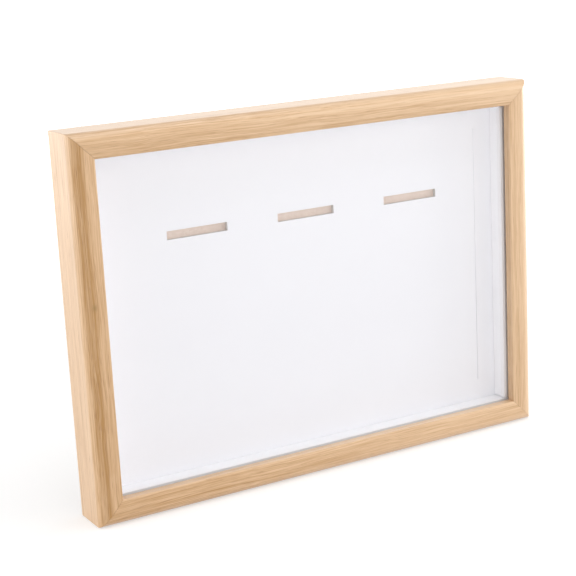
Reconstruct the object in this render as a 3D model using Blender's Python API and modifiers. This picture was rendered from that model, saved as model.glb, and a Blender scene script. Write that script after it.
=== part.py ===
"""Medal shadow box: a deep mitred oak box frame with glazing, a spacer, a slotted mat and a removable back.

Units are metres. X runs along the width, Y from the front to the back and Z up. The origin is at the
middle of the footprint that the whole box covers, on the surface it stands on.
Depths are counted from the crown, the foremost line of the rails.
"""

import math

import bmesh
import bpy
from mathutils import Matrix, Vector

# Sheets that the frame takes, and the room round them
INSERT_WIDTH = 0.297
INSERT_HEIGHT = 0.210
INSERT_PLAY = 0.0005
SHEET_GAP = 0.0003

# Rail section
RAIL_WALL = 0.009
RAIL_WIDTH = 0.0151
RAIL_DEPTH = 0.030
SHOULDER_REACH = 0.0065
SHOULDER_RISE = 0.0065
CROWN_FALL = 0.001
SIGHT_RADIUS = 0.0006
LIP_BACK = 0.0066
BACK_EDGE_RADIUS = 0.0006
MITRE_GAP = 0.0002

# Glazing, spacer, mat and back
GLASS_THICKNESS = 0.002
GLASS_ARRIS = 0.0002
SPACER_DEPTH = 0.0105
SPACER_ROW_SHOW = 0.0009
SPACER_SIDE_SHOW = 0.0022
SPACER_WALL = 0.0021
SPACER_STEP = 0.0022
MAT_THICKNESS = 0.0025
BACKING_THICKNESS = 0.003
BACKING_ARRIS = 0.0004

# Ribbon slots in the mat, and the fine scored line beside the right one
SLOT_LENGTH = 0.0398
SLOT_HEIGHT = 0.0052
SLOT_PLACES = (-0.0749, -0.0006, 0.0764)
SLOT_CENTRE_HEIGHT = 0.1612
SCORE_INSET = 0.0158
SCORE_END_INSET = 0.0145
SCORE_WIDTH = 0.0005
SCORE_DEPTH = 0.0008

# Turn buttons
BUTTON_THICKNESS = 0.001
BUTTON_EYE_RADIUS = 0.004
BUTTON_NOSE_RADIUS = 0.0032
BUTTON_NOSE_REACH = 0.013
BUTTON_ARRIS = 0.0002
BUTTON_HOLE_RADIUS = 0.0018
BUTTON_SPREAD = 0.080

# Screws
SCREW_RADIUS = 0.0014
SCREW_LENGTH = 0.011
SCREW_POINT = 0.0022
SCREW_HEAD_RADIUS = 0.0029
SCREW_HEAD_HEIGHT = 0.0015
SCREW_RIM = 0.0004
SCREW_RECESS_WIDTH = 0.0007
SCREW_RECESS_SPAN = 0.0032
SCREW_RECESS_DEPTH = 0.0008
SEAT_GAP = 0.0003

# Hangers
STRAP_WIDTH = 0.005
STRAP_THICKNESS = 0.0008
STRAP_LENGTH = 0.021
STRAP_CORNER_RADIUS = 0.0018
STRAP_HOLE_INSET = 0.0045
RING_WIRE_RADIUS = 0.00075
RING_CLEARANCE = 0.0003
RING_BEND_RADIUS = 0.0016
RING_DROP = 0.0088
HANGER_HEIGHT = 0.168
HANGER_INSET = 0.0057

# Corner nails
NAIL_LEG = 0.003
NAIL_THICKNESS = 0.0008
NAIL_LENGTH = 0.010
NAIL_SHIFT = 0.0008
NAIL_SETBACK = 0.0002
NAIL_GAP = 0.0002

# Bumpers
BUMPER_RADIUS = 0.004
BUMPER_HEIGHT = 0.0048
BUMPER_CROWN_RADIUS = 0.0014
BUMPER_CORNER_INSET = 0.022

# Any cut starts this far outside the face it enters, and points closer than the merge distance are one
OVERRUN = 0.001
MERGE_DISTANCE = 0.000002

# Angles, in degrees
NAIL_HALF_ANGLE = 50
EYE_WRAP = 285
SHARP_ANGLE = 35
RIM_ANGLE = 60
FLAT_ANGLE = 1

# Counts
SHOULDER_STEPS = 12
CROWN_STEPS = 6
EDGE_STEPS = 4
ROUND_SIDES = 24
EYE_STEPS = 18
RING_BEND_STEPS = 5
RING_HOOP_STEPS = 16

# Sizes that follow from the ones above
OUTER_WIDTH = INSERT_WIDTH + 2 * (INSERT_PLAY + RAIL_WALL)
OUTER_HEIGHT = INSERT_HEIGHT + 2 * (INSERT_PLAY + RAIL_WALL)
SPACER_ROW_WIDTH = RAIL_WIDTH + SPACER_ROW_SHOW - RAIL_WALL - INSERT_PLAY
SPACER_SIDE_WIDTH = RAIL_WIDTH + SPACER_SIDE_SHOW - RAIL_WALL - INSERT_PLAY
GLASS_FRONT = LIP_BACK + SHEET_GAP
SPACER_FRONT = GLASS_FRONT + GLASS_THICKNESS + SHEET_GAP
MAT_FRONT = SPACER_FRONT + SPACER_DEPTH + SHEET_GAP
FILLER_FRONT = MAT_FRONT + MAT_THICKNESS + SHEET_GAP
BACKING_FRONT = RAIL_DEPTH - BACKING_THICKNESS
FILLER_THICKNESS = BACKING_FRONT - SHEET_GAP - FILLER_FRONT
BUTTON_FRONT = RAIL_DEPTH + SEAT_GAP
BUTTON_BACK = BUTTON_FRONT + BUTTON_THICKNESS
TOTAL_DEPTH = RAIL_DEPTH + SEAT_GAP + BUMPER_HEIGHT
FRONT_Y = -TOTAL_DEPTH / 2
WALL_MIDDLE = RAIL_WALL / 2
PILOT_RADIUS = SCREW_RADIUS + SEAT_GAP
SIDE_MIDDLE = OUTER_WIDTH / 2 - WALL_MIDDLE
STRAP_FRONT = RAIL_DEPTH + SEAT_GAP
STRAP_BACK = STRAP_FRONT + STRAP_THICKNESS
EYE_BORE = RING_WIRE_RADIUS + RING_CLEARANCE
EYE_RADIUS = EYE_BORE + STRAP_THICKNESS
EYE_DEPTH = STRAP_FRONT + EYE_RADIUS


def along_y(depth):
    """Return the world Y of a depth counted from the crown."""
    return FRONT_Y + depth


def clear_scene():
    """Take away whatever objects the file opened with."""
    for old in list(bpy.data.objects):
        bpy.data.objects.remove(old, do_unlink=True)


def new_collection(name):
    """Return a new collection linked to the scene."""
    collection = bpy.data.collections.new(name)
    bpy.context.scene.collection.children.link(collection)
    return collection


def new_material(name, colour, roughness, metallic=0.0, transmission=0.0):
    """Return a Principled material."""
    material = bpy.data.materials.new(name)
    material.use_nodes = True
    shader = material.node_tree.nodes["Principled BSDF"]
    shader.inputs["Base Color"].default_value = (*colour, 1.0)
    shader.inputs["Roughness"].default_value = roughness
    shader.inputs["Metallic"].default_value = metallic
    shader.inputs["Transmission Weight"].default_value = transmission
    material.diffuse_color = (*colour, 1.0)
    return material


def mesh_from(bm, name):
    """Turn a bmesh into a mesh and free it."""
    mesh = bpy.data.meshes.new(name)
    bm.to_mesh(mesh)
    bm.free()
    return mesh


def add_part(name, mesh, material, place, turn=(0.0, 0.0, 0.0)):
    """Put a mesh in the scene as a piece of the box."""
    part = bpy.data.objects.new(name, mesh)
    if not mesh.materials:
        mesh.materials.append(material)
    part.location = place
    part.rotation_euler = turn
    part.parent = ROOT
    PARTS.objects.link(part)
    return part


def add_cutter(name, mesh, group, place, turn=(0.0, 0.0, 0.0)):
    """Put a mesh among the cutters of one group."""
    cutter = bpy.data.objects.new(name, mesh)
    cutter.location = place
    cutter.rotation_euler = turn
    cutter.parent = ROOT
    cutter.hide_render = True
    cutter.display_type = "WIRE"
    group.objects.link(cutter)
    return cutter


def cutter_group(name):
    """Return a new collection for one piece's cutters."""
    group = bpy.data.collections.new(name)
    CUTTERS.children.link(group)
    return group


def cut_with(part, group):
    """Cut every cutter of a group from a piece."""
    cut = part.modifiers.new("cuts", "BOOLEAN")
    cut.operation = "DIFFERENCE"
    cut.operand_type = "COLLECTION"
    cut.collection = group
    cut.solver = "EXACT"


def box_bmesh(size_x, size_y, size_z, arris=0.0):
    """Return a box round the origin, with its edges bevelled if an arris is given."""
    bm = bmesh.new()
    bmesh.ops.create_cube(bm, size=1.0)
    bmesh.ops.scale(bm, vec=Vector((size_x, size_y, size_z)), verts=bm.verts)
    if arris:
        bmesh.ops.bevel(
            bm, geom=bm.edges[:], offset=arris, segments=1, profile=0.5, affect="EDGES", material=-1
        )
    return bm


def rod_bmesh(radius, length):
    """Return a rod along Z round the origin."""
    bm = bmesh.new()
    bmesh.ops.create_cone(
        bm, cap_ends=True, segments=ROUND_SIDES, radius1=radius, radius2=radius, depth=length
    )
    return bm


def evaluated_mesh(source):
    """Return the mesh that an object's modifiers or curve settings give."""
    bpy.context.view_layer.update()
    graph = bpy.context.evaluated_depsgraph_get()
    return bpy.data.meshes.new_from_object(source.evaluated_get(graph))


def outline_bmesh(outline, length):
    """Return a flat outline extruded by half the length each way along Z."""
    curve = bpy.data.curves.new("outline", "CURVE")
    curve.dimensions = "2D"
    curve.fill_mode = "BOTH"
    curve.extrude = length / 2
    spline = curve.splines.new("POLY")
    spline.points.add(len(outline) - 1)
    for point, (x, y) in zip(spline.points, outline):
        point.co = (x, y, 0.0, 1.0)
    spline.use_cyclic_u = True
    guide = bpy.data.objects.new("outline", curve)
    bpy.context.scene.collection.objects.link(guide)
    mesh = evaluated_mesh(guide)
    bpy.data.objects.remove(guide, do_unlink=True)
    bm = bmesh.new()
    bm.from_mesh(mesh)
    bmesh.ops.remove_doubles(bm, verts=bm.verts, dist=MERGE_DISTANCE)
    bmesh.ops.recalc_face_normals(bm, faces=bm.faces)
    for face in bm.faces:
        face.smooth = False
    return bm


def arc(centre, radius, start, sweep, steps):
    """Return points along an arc, its ends included; angles in degrees."""
    points = []
    for step in range(steps + 1):
        angle = math.radians(start + sweep * step / steps)
        points.append((centre[0] + radius * math.cos(angle), centre[1] + radius * math.sin(angle)))
    return points


def mitred_bmesh(outline, run):
    """Return a bar of the given outline along Z, mitred at both ends.

    The outline's X is counted inwards from the outer side, where the bar is longest.
    """
    bm = outline_bmesh(outline, run)
    end = run / 2 - MITRE_GAP / 2 * math.sqrt(2)
    for side in (1, -1):
        bmesh.ops.bisect_plane(
            bm, geom=bm.verts[:] + bm.edges[:] + bm.faces[:], dist=MERGE_DISTANCE,
            plane_co=Vector((0.0, 0.0, side * end)), plane_no=Vector((1.0, 0.0, side)), clear_outer=True
        )
        rim = [edge for edge in bm.edges if edge.is_boundary]
        bmesh.ops.holes_fill(bm, edges=rim, sides=0)
    bmesh.ops.recalc_face_normals(bm, faces=bm.faces)
    return bm


def side_places(width, height, depth):
    """Return the place, turn and run of the bars on the four sides of a rectangle."""
    middle = OUTER_HEIGHT / 2
    y = along_y(depth)
    return {
        "left": ((-width / 2, y, middle), 0, height),
        "right": ((width / 2, y, middle), 180, height),
        "bottom": ((0.0, y, middle - height / 2), -90, width),
        "top": ((0.0, y, middle + height / 2), 90, width),
    }


def rail_outline():
    """Return the rail section: X inwards from the outer side, Y back from the crown."""
    shoulder = [
        (SHOULDER_REACH * (1 - math.cos(angle)), SHOULDER_RISE * (1 - math.sin(angle)))
        for angle in (math.pi / 2 * step / SHOULDER_STEPS for step in range(SHOULDER_STEPS + 1))
    ]
    crown_run = RAIL_WIDTH - SIGHT_RADIUS - SHOULDER_REACH
    crown = [
        (SHOULDER_REACH + crown_run * share, CROWN_FALL * share ** 2)
        for share in (step / CROWN_STEPS for step in range(1, CROWN_STEPS))
    ]
    sight = arc((RAIL_WIDTH - SIGHT_RADIUS, CROWN_FALL + SIGHT_RADIUS), SIGHT_RADIUS, -90, 90, EDGE_STEPS)
    rebate = [(RAIL_WIDTH, LIP_BACK), (RAIL_WALL, LIP_BACK), (RAIL_WALL, RAIL_DEPTH)]
    back = arc((BACK_EDGE_RADIUS, RAIL_DEPTH - BACK_EDGE_RADIUS), BACK_EDGE_RADIUS, 90, 90, EDGE_STEPS)
    return shoulder + crown + sight + rebate + back


def spacer_outline(width):
    """Return a spacer strip's section: a bar with a step along its outer front, behind the lip."""
    inner = width - SPACER_WALL
    return [
        (inner, 0.0), (width, 0.0), (width, SPACER_DEPTH), (0.0, SPACER_DEPTH), (0.0, SPACER_STEP),
        (inner, SPACER_STEP)
    ]


def button_outline():
    """Return a turn button's outline: a round eye at the origin and a smaller round nose along +X."""
    nose_centre = BUTTON_NOSE_REACH - BUTTON_NOSE_RADIUS
    lean = math.degrees(math.asin((BUTTON_EYE_RADIUS - BUTTON_NOSE_RADIUS) / nose_centre))
    eye = arc((0.0, 0.0), BUTTON_EYE_RADIUS, 90 - lean, 180 + 2 * lean, EYE_STEPS)
    nose = arc((nose_centre, 0.0), BUTTON_NOSE_RADIUS, -90 + lean, 180 - 2 * lean, EYE_STEPS)
    return eye + nose


def nail_outline(leg, thickness):
    """Return the V of a corner nail, its point at the origin and its legs towards -X."""
    half = math.radians(NAIL_HALF_ANGLE)
    tip = thickness / 2 / math.sin(half)
    end = Vector((-leg * math.cos(half), leg * math.sin(half)))
    across = Vector((math.sin(half), math.cos(half))) * thickness / 2
    outer = end + across
    inner = end - across
    return [
        (tip, 0.0), (outer.x, outer.y), (inner.x, inner.y),
        (-tip, 0.0), (inner.x, -inner.y), (outer.x, -outer.y)
    ]


def strap_outline():
    """Return a hanger strap's edge view round its eye: X back from the frame, Y up.

    The plate runs down from the eye, whose curl stops short of closing.
    """
    outside = arc((0.0, 0.0), EYE_RADIUS, 180, -EYE_WRAP, EYE_STEPS)
    inside = arc((0.0, 0.0), EYE_BORE, 180 - EYE_WRAP, EYE_WRAP, EYE_STEPS)
    return outside + inside + [(-EYE_BORE, -STRAP_LENGTH), (-EYE_RADIUS, -STRAP_LENGTH)]


def turned_mesh(profile, name):
    """Return a turned shape from a profile that runs down its outer side, round local Z."""
    bm = bmesh.new()
    verts = [bm.verts.new((radius, 0.0, height)) for radius, height in profile]
    for start, end in zip(verts, verts[1:]):
        bm.edges.new((start, end))
    blank = bpy.data.objects.new(name, mesh_from(bm, name))
    bpy.context.scene.collection.objects.link(blank)
    turning = blank.modifiers.new("turning", "SCREW")
    turning.axis = "Z"
    turning.steps = ROUND_SIDES
    turning.render_steps = ROUND_SIDES
    turning.use_merge_vertices = True
    turning.merge_threshold = MERGE_DISTANCE
    mesh = evaluated_mesh(blank)
    bpy.data.objects.remove(blank, do_unlink=True)
    return mesh


def screw_mesh():
    """Return a pan-head screw: the head's underside at Z 0, the shank down -Z, a cross recess on top."""
    dome = [
        (SCREW_HEAD_RADIUS * math.sin(angle), SCREW_RIM + (SCREW_HEAD_HEIGHT - SCREW_RIM) * math.cos(angle))
        for angle in (math.pi / 2 * step / EDGE_STEPS for step in range(EDGE_STEPS + 1))
    ]
    shank = [
        (SCREW_HEAD_RADIUS, 0.0), (SCREW_RADIUS, 0.0), (SCREW_RADIUS, SCREW_POINT - SCREW_LENGTH),
        (0.0, -SCREW_LENGTH)
    ]
    mesh = turned_mesh(dome + shank, "screw")
    blank = bpy.data.objects.new("screw_blank", mesh)
    bpy.context.scene.collection.objects.link(blank)
    group = cutter_group("screw_recess_cutters")
    for turn in (0.0, math.pi / 2):
        slot = box_bmesh(SCREW_RECESS_SPAN, SCREW_RECESS_WIDTH, SCREW_RECESS_DEPTH + OVERRUN)
        height = SCREW_HEAD_HEIGHT - SCREW_RECESS_DEPTH / 2 + OVERRUN / 2
        add_cutter("recess_cut", mesh_from(slot, "recess_cut"), group, (0.0, 0.0, height), (0.0, 0.0, turn))
    cut_with(blank, group)
    finished = evaluated_mesh(blank)
    bpy.data.objects.remove(blank, do_unlink=True)
    smooth(finished)
    return finished


def smooth(mesh):
    """Shade a mesh smooth but for its sharp edges."""
    mesh.shade_smooth()
    mesh.set_sharp_from_angle(angle=math.radians(SHARP_ANGLE))


def build_rails(oak):
    """Build the four mitred rails and return them with their groups of cutters."""
    rails = {}
    for side, (place, turn, run) in side_places(OUTER_WIDTH, OUTER_HEIGHT, 0.0).items():
        mesh = mesh_from(mitred_bmesh(rail_outline(), run), "rail_" + side)
        smooth(mesh)
        rail = add_part("rail_" + side, mesh, oak, place, (0.0, math.radians(turn), 0.0))
        group = cutter_group("rail_" + side + "_cutters")
        cut_with(rail, group)
        rails[side] = group
    return rails


def build_spacer(white):
    """Build the spacer strips between the glazing and the mat, the side ones between the two long ones."""
    for side, (place, turn, run) in side_places(INSERT_WIDTH, INSERT_HEIGHT, SPACER_FRONT).items():
        width = SPACER_ROW_WIDTH
        if side in ("left", "right"):
            width = SPACER_SIDE_WIDTH
            run -= 2 * (SPACER_ROW_WIDTH + SHEET_GAP)
        mesh = mesh_from(outline_bmesh(spacer_outline(width), run), "spacer_" + side)
        add_part("spacer_" + side, mesh, white, place, (0.0, math.radians(turn), 0.0))


def build_sheet(name, material, front, thickness, arris=0.0):
    """Build one sheet of the insert size with its front face at a depth."""
    mesh = mesh_from(box_bmesh(INSERT_WIDTH, thickness, INSERT_HEIGHT, arris), name)
    place = (0.0, along_y(front + thickness / 2), OUTER_HEIGHT / 2)
    return add_part(name, mesh, material, place)


def build_mat(white):
    """Build the mat with its three ribbon slots and the scored line near its right edge."""
    mat = build_sheet("mat_board", white, MAT_FRONT, MAT_THICKNESS)
    group = cutter_group("mat_cutters")
    middle = along_y(MAT_FRONT + MAT_THICKNESS / 2)
    slot = mesh_from(box_bmesh(SLOT_LENGTH, MAT_THICKNESS + 2 * OVERRUN, SLOT_HEIGHT), "slot_cut")
    for x in SLOT_PLACES:
        add_cutter("slot_cut", slot, group, (x, middle, SLOT_CENTRE_HEIGHT))
    sight_height = OUTER_HEIGHT - 2 * RAIL_WIDTH
    score_height = sight_height - 2 * SCORE_END_INSET
    score_x = OUTER_WIDTH / 2 - RAIL_WIDTH - SCORE_INSET
    score = box_bmesh(SCORE_WIDTH, SCORE_DEPTH + OVERRUN, score_height)
    score_y = along_y(MAT_FRONT + SCORE_DEPTH / 2 - OVERRUN / 2)
    add_cutter("score_cut", mesh_from(score, "score_cut"), group, (score_x, score_y, OUTER_HEIGHT / 2))
    cut_with(mat, group)


def button_mesh():
    """Return a turn button in the XY plane, its screw hole at the origin and its rims bevelled."""
    bm = outline_bmesh(button_outline(), BUTTON_THICKNESS)
    bmesh.ops.dissolve_limit(bm, angle_limit=math.radians(FLAT_ANGLE), verts=bm.verts, edges=bm.edges)
    rim = [edge for edge in bm.edges if edge.calc_face_angle(0.0) > math.radians(RIM_ANGLE)]
    bmesh.ops.bevel(bm, geom=rim, offset=BUTTON_ARRIS, segments=1, profile=0.5, affect="EDGES", material=-1)
    blank = bpy.data.objects.new("button_blank", mesh_from(bm, "turn_button"))
    bpy.context.scene.collection.objects.link(blank)
    hole_group = cutter_group("button_cutters")
    hole = rod_bmesh(BUTTON_HOLE_RADIUS, BUTTON_THICKNESS + 2 * OVERRUN)
    add_cutter("button_hole_cut", mesh_from(hole, "button_hole_cut"), hole_group, (0.0, 0.0, 0.0))
    cut_with(blank, hole_group)
    finished = evaluated_mesh(blank)
    bpy.data.objects.remove(blank, do_unlink=True)
    return finished


def build_buttons(rails, steel, screw, plated):
    """Build the turn buttons and their screws, and drill the rails for them."""
    button = button_mesh()
    low = WALL_MIDDLE
    high = OUTER_HEIGHT - WALL_MIDDLE
    places = {
        "top_left": ("top", -BUTTON_SPREAD, high, 90),
        "top_right": ("top", BUTTON_SPREAD, high, 90),
        "bottom_left": ("bottom", -BUTTON_SPREAD, low, -90),
        "bottom_right": ("bottom", BUTTON_SPREAD, low, -90),
        "left": ("left", -SIDE_MIDDLE, OUTER_HEIGHT / 2, 0),
        "right": ("right", SIDE_MIDDLE, OUTER_HEIGHT / 2, 180),
    }
    for name, (side, x, z, turn) in places.items():
        place = (x, along_y(BUTTON_FRONT + BUTTON_THICKNESS / 2), z)
        add_part("turn_button_" + name, button, steel, place, (math.pi / 2, math.radians(turn), 0.0))
        seat = (x, BUTTON_BACK + SEAT_GAP, z)
        drive_screw("turn_button_screw_" + name, screw, plated, rails[side], seat)


def drive_screw(name, screw, plated, group, seat):
    """Add a screw whose head sits at x, depth and z, and drill its pilot hole past the point."""
    x, depth, z = seat
    add_part(name, screw, plated, (x, along_y(depth), z), (-math.pi / 2, 0.0, 0.0))
    pilot = mesh_from(rod_bmesh(PILOT_RADIUS, SCREW_LENGTH + OVERRUN), "pilot_cut")
    middle = along_y(depth - SCREW_LENGTH - SEAT_GAP + (SCREW_LENGTH + OVERRUN) / 2)
    add_cutter("pilot_cut", pilot, group, (x, middle, z), (math.pi / 2, 0.0, 0.0))


def ring_points():
    """Return a hanger ring's centre line: a straight bar through the eye and a hoop hanging from it."""
    half = STRAP_WIDTH / 2 + RING_CLEARANCE + RING_WIRE_RADIUS
    bend = RING_BEND_RADIUS
    right = arc((half - bend, -bend), bend, 90, -90, RING_BEND_STEPS)
    hoop = arc((0.0, half - RING_DROP), half, 0, -180, RING_HOOP_STEPS)
    left = arc((bend - half, -bend), bend, 180, -90, RING_BEND_STEPS)
    return right + hoop + left


def strap_mesh():
    """Return a hanger strap with the two corners of its foot rounded."""
    bm = outline_bmesh(strap_outline(), STRAP_WIDTH)
    foot = [
        edge for edge in bm.edges
        if all(abs(vert.co.y + STRAP_LENGTH) < MERGE_DISTANCE for vert in edge.verts)
        and abs(edge.verts[0].co.z - edge.verts[1].co.z) < MERGE_DISTANCE
    ]
    bmesh.ops.bevel(
        bm, geom=foot, offset=STRAP_CORNER_RADIUS, segments=EDGE_STEPS, profile=0.5,
        affect="EDGES", material=-1
    )
    return mesh_from(bm, "hanger_strap")


def ring_curve():
    """Return a hanger ring as a closed wire."""
    ring = bpy.data.curves.new("hanger_ring", "CURVE")
    ring.dimensions = "3D"
    ring.bevel_depth = RING_WIRE_RADIUS
    ring.bevel_resolution = 2
    spline = ring.splines.new("POLY")
    points = ring_points()
    spline.points.add(len(points) - 1)
    for point, (x, z) in zip(spline.points, points):
        point.co = (x, 0.0, z, 1.0)
    spline.use_cyclic_u = True
    return ring


def build_hangers(rails, steel, screw, plated):
    """Build the strap, screw and ring on the back of each side rail."""
    strap = strap_mesh()
    ring = ring_curve()
    hole = mesh_from(rod_bmesh(PILOT_RADIUS, STRAP_THICKNESS + 2 * OVERRUN), "strap_hole_cut")
    upright = Matrix(((0, 0, 1), (1, 0, 0), (0, 1, 0))).to_euler()
    strap_middle = along_y(STRAP_FRONT + STRAP_THICKNESS / 2)
    screw_z = HANGER_HEIGHT - STRAP_LENGTH + STRAP_HOLE_INSET
    far = OUTER_WIDTH / 2 - HANGER_INSET
    for side, x in (("left", -far), ("right", far)):
        eye_place = (x, along_y(EYE_DEPTH), HANGER_HEIGHT)
        plate = add_part("hanger_strap_" + side, strap, steel, eye_place, upright)
        group = cutter_group("hanger_" + side + "_cutters")
        add_cutter("strap_hole_cut", hole, group, (x, strap_middle, screw_z), (math.pi / 2, 0.0, 0.0))
        cut_with(plate, group)
        add_part("hanger_ring_" + side, ring, steel, eye_place)
        drive_screw("hanger_screw_" + side, screw, plated, rails[side], (x, STRAP_BACK + SEAT_GAP, screw_z))


def build_nails(rails, steel):
    """Build the V nail across each mitre and cut its pocket into both rails."""
    nail = mesh_from(outline_bmesh(nail_outline(NAIL_LEG, NAIL_THICKNESS), NAIL_LENGTH), "corner_nail")
    pocket_length = NAIL_SETBACK + NAIL_LENGTH + NAIL_GAP + OVERRUN
    pocket_outline = nail_outline(NAIL_LEG + NAIL_GAP, NAIL_THICKNESS + 2 * NAIL_GAP)
    pocket = mesh_from(outline_bmesh(pocket_outline, pocket_length), "nail_pocket_cut")
    nail_y = along_y(RAIL_DEPTH - NAIL_SETBACK - NAIL_LENGTH / 2)
    pocket_y = along_y(RAIL_DEPTH + OVERRUN - pocket_length / 2)
    inset = WALL_MIDDLE + NAIL_SHIFT
    far = OUTER_WIDTH / 2 - inset
    corners = {
        ("top", "left"): (-far, OUTER_HEIGHT - inset, 45),
        ("top", "right"): (far, OUTER_HEIGHT - inset, 135),
        ("bottom", "left"): (-far, inset, -45),
        ("bottom", "right"): (far, inset, -135),
    }
    for (row, side), (x, z, turn) in corners.items():
        angles = (math.pi / 2, math.radians(turn), 0.0)
        add_part("corner_nail_" + row + "_" + side, nail, steel, (x, nail_y, z), angles)
        cutter = add_cutter("nail_pocket_cut", pocket, rails[row], (x, pocket_y, z), angles)
        rails[side].objects.link(cutter)


def build_bumpers(rubber):
    """Build the rubber bumpers at the four corners of the back."""
    crown = arc(
        (BUMPER_RADIUS - BUMPER_CROWN_RADIUS, BUMPER_HEIGHT - BUMPER_CROWN_RADIUS),
        BUMPER_CROWN_RADIUS, 90, -90, EDGE_STEPS
    )
    mesh = turned_mesh([(0.0, BUMPER_HEIGHT)] + crown + [(BUMPER_RADIUS, 0.0), (0.0, 0.0)], "bumper")
    smooth(mesh)
    x = OUTER_WIDTH / 2 - BUMPER_CORNER_INSET
    y = along_y(RAIL_DEPTH + SEAT_GAP)
    for row, z in (("bottom", WALL_MIDDLE), ("top", OUTER_HEIGHT - WALL_MIDDLE)):
        for side, sign in (("left", -1), ("right", 1)):
            add_part("bumper_" + row + "_" + side, mesh, rubber, (sign * x, y, z), (-math.pi / 2, 0.0, 0.0))


def main():
    """Build every piece of the shadow box."""
    oak = new_material("oak", (0.77, 0.54, 0.35), 0.50)
    glass = new_material("clear_glass", (0.95, 0.97, 0.96), 0.02, transmission=1.0)
    white_plastic = new_material("white_plastic", (0.80, 0.80, 0.80), 0.45)
    white_card = new_material("white_card", (0.88, 0.88, 0.90), 0.80)
    kraft_card = new_material("kraft_card", (0.70, 0.58, 0.49), 0.85)
    fibreboard = new_material("fibreboard", (0.34, 0.22, 0.13), 0.75)
    steel = new_material("zinc_steel", (0.62, 0.63, 0.64), 0.35, metallic=1.0)
    plated = new_material("screw_steel", (0.70, 0.66, 0.56), 0.30, metallic=1.0)
    rubber = new_material("black_rubber", (0.03, 0.03, 0.03), 0.70)

    screw = screw_mesh()
    rails = build_rails(oak)
    build_sheet("glazing_sheet", glass, GLASS_FRONT, GLASS_THICKNESS, GLASS_ARRIS)
    build_spacer(white_plastic)
    build_mat(white_card)
    build_sheet("filler_board", kraft_card, FILLER_FRONT, FILLER_THICKNESS)
    build_sheet("backing_board", fibreboard, BACKING_FRONT, BACKING_THICKNESS, BACKING_ARRIS)
    build_buttons(rails, steel, screw, plated)
    build_hangers(rails, steel, screw, plated)
    build_nails(rails, steel)
    build_bumpers(rubber)


clear_scene()
PARTS = new_collection("Medal shadow box")
CUTTERS = new_collection("Cutters")
ROOT = bpy.data.objects.new("medal_shadow_box", None)
PARTS.objects.link(ROOT)
main()
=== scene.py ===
"""Medal shadow box, dressed: oak rails, glazing, a white spacer, a slotted mat and a back.

Units are metres. X runs along the width, Y from the front to the back and Z up. Depths are counted
from the crown, the foremost line of the rails.
"""

import logging
import math
from dataclasses import dataclass
from enum import Enum
from typing import Any, Callable, Optional, Sequence

import bmesh
import bpy
from mathutils import Matrix, Vector


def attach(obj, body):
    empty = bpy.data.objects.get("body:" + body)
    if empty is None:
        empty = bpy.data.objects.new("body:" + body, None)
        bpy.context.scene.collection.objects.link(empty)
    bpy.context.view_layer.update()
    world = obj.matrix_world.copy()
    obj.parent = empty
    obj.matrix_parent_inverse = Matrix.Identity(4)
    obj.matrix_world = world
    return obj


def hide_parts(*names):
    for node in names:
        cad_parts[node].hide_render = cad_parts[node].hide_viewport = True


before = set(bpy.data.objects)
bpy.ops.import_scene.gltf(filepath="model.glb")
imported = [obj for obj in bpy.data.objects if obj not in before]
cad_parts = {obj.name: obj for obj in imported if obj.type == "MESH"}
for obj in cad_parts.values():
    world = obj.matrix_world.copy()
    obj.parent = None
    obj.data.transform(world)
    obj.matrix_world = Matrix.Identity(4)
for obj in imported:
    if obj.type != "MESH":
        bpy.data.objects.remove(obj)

LOG = logging.getLogger("shadow_box")
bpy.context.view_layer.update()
OUTER_WIDTH = 0.316
OUTER_HEIGHT = 0.229
FRONT_Y = -0.01755
RAIL_DEPTH = 0.030
QUARTER_TURN = math.pi / 2

# Points closer than WELD become one, a cut passes through points closer than SNAP, and places
# closer than NEAR are the same
WELD = 0.000001
SNAP = 0.0000005
NEAR = 0.00001

# Edges steeper than this many degrees stay crisp, on most pieces and on the rails and the mat
CRISP = 32.0
CRISP_FLAT = 28.0
# The steps of a full turn, and how much longer a bar is before it is mitred
TURN_STEPS = 48
SPARE = 1.2

Shape = bmesh.types.BMesh
Test = Callable[[bmesh.types.BMEdge], bool]
Material = bpy.types.Material
Outline = Sequence[tuple[float, float]]
Point = tuple[float, float, float]
Colour = tuple[float, float, float]

WHITE: Colour = (1.0, 1.0, 1.0)
SEEN = ("Camera", "Glossy", "Transmission")


def paint(red: float, green: float, blue: float) -> Colour:
    """Turn a colour of 0 to 255 a channel, as seen on a screen, into linear light.

    Args:
        red, green, blue: the channels as seen.

    Returns:
        The linear colour.
    """
    def channel(value: float) -> float:
        """Turn one channel into linear light."""
        share = value / 255
        return share / 12.92 if share <= 0.04045 else ((share + 0.055) / 1.055) ** 2.4
    return channel(red), channel(green), channel(blue)


class Side(Enum):
    """A side of the box, with the turn that takes a bar from the left side to it."""

    LEFT = 0
    RIGHT = 180
    BOTTOM = -90
    TOP = 90

    @property
    def lower(self) -> str:
        """The side's name in a piece's name."""
        return self.name.lower()

    @property
    def lies_flat(self) -> bool:
        """Whether the bar runs along the width."""
        return self in (Side.TOP, Side.BOTTOM)

    @property
    def way(self) -> int:
        """Minus one at the left and the bottom, and one at the right and the top."""
        return 1 if self in (Side.RIGHT, Side.TOP) else -1

    def matrix(self, width: float, height: float, depth: float) -> Matrix:
        """Return the place of a bar whose X runs inwards, Y backwards and Z along the bar.

        Args:
            width, height: the rectangle that the four bars' outer sides make.
            depth: the bars' front, from the crown.

        Returns:
            The matrix that takes the bar to its side.
        """
        across = 0.0 if self.lies_flat else self.way * width / 2
        up = self.way * height / 2 if self.lies_flat else 0.0
        place = Vector((across, FRONT_Y + depth, OUTER_HEIGHT / 2 + up))
        return Matrix.Translation(place) @ Matrix.Rotation(math.radians(self.value), 4, "Y")


CORNERS = [(row, end) for row in (Side.TOP, Side.BOTTOM) for end in (Side.LEFT, Side.RIGHT)]


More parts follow.
